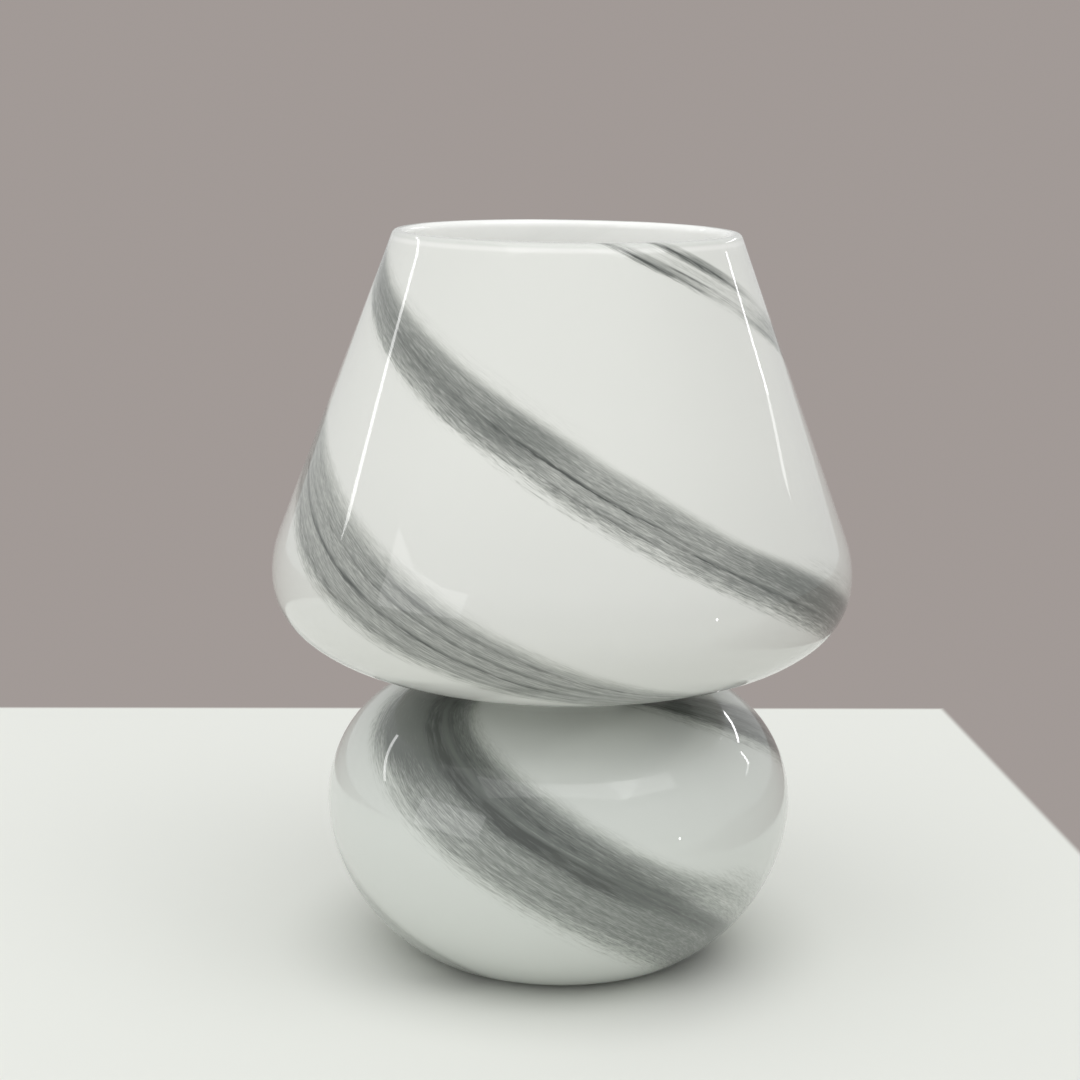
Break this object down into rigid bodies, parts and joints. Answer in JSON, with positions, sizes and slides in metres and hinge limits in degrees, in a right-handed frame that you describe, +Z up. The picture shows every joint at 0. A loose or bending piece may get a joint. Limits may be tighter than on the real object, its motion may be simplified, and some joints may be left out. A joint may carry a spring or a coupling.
{
  "type": "mushroom table lamp",
  "caption": "Mushroom-shaped table lamp: one blown glass body with a conical open-topped shade, a tight neck and a rounded base, over a lampholder and bulb on a threaded stem.",
  "frame": {"origin": "middle of the lamp's foot, on the surface it stands on", "axes": "+Z up along the lamp's axis, -Y towards the front as pictured, +Y towards the cord inlet, +X to the right"},
  "size_m": [0.21, 0.21, 0.2635],
  "materials": {
    "opal_glass": "gloss, clear-cased opal with grey swirls",
    "clear_bumper": "clear polyurethane",
    "grommet_rubber": "soft, matt",
    "gasket_rubber": "matt",
    "zinc_steel": "bright zinc plate",
    "stem_brass": "turned",
    "white_plastic": "moulded",
    "holder_plastic": "moulded, satin",
    "carrier_ceramic": "unglazed",
    "contact_brass": "pressed sheet",
    "terminal_brass": "cut bar",
    "bulb_solder": "tinned",
    "insulator_black": "moulded",
    "bulb_cap_metal": "nickelled sheet",
    "bulb_plastic": "moulded, satin",
    "bulb_opal": "frosted diffuser",
    "board_aluminium": "white-masked board",
    "chip_phosphor": "phosphor over the chip",
    "driver_laminate": "glass-epoxy laminate",
    "capacitor_can": "sleeved can"
  },
  "bodies": {
    "lamp": {"glass_body": "opal_glass", "foot_pads": "clear_bumper", "cord_grommet": "grommet_rubber", "lower_gasket": "gasket_rubber", "clamp_washer": "zinc_steel", "lower_nut": "zinc_steel", "lower_tube": "zinc_steel", "upper_gasket": "gasket_rubber", "support_flange": "zinc_steel", "stem": "stem_brass", "stem_bushing": "white_plastic", "stem_nut": "stem_brass", "upper_tube": "zinc_steel", "holder_cap": "holder_plastic", "cap_lock_screw": "white_plastic", "holder_skirt": "holder_plastic", "contact_carrier": "carrier_ceramic", "screw_shell": "contact_brass", "centre_contact": "contact_brass", "side_contact": "contact_brass", "terminal_blocks": "terminal_brass", "terminal_screws": "zinc_steel"},
    "bulb_carriage": {"bulb_tip_contact": "bulb_solder"},
    "bulb": {"bulb_insulator": "insulator_black", "bulb_screw_cap": "bulb_cap_metal", "bulb_housing": "bulb_plastic", "bulb_diffuser": "bulb_opal", "led_board": "board_aluminium", "led_chips": "chip_phosphor", "driver_board": "driver_laminate", "driver_capacitor": "capacitor_can"}
  },
  "joints": [
    {"name": "bulb_rise", "type": "slide", "parent": "lamp", "child": "bulb_carriage", "axis": [0, 0, 1], "range_m": [0, 0.0109]},
    {"name": "bulb_turn", "type": "hinge", "parent": "bulb_carriage", "child": "bulb", "pos_m": [0, 0, 0.1], "axis": [0, 0, 1], "range_deg": [0, 1080]}
  ],
  "couplings": [
    {"joint": "bulb_rise", "follows": "bulb_turn", "m_per_rad": 0.00057757}
  ]
}
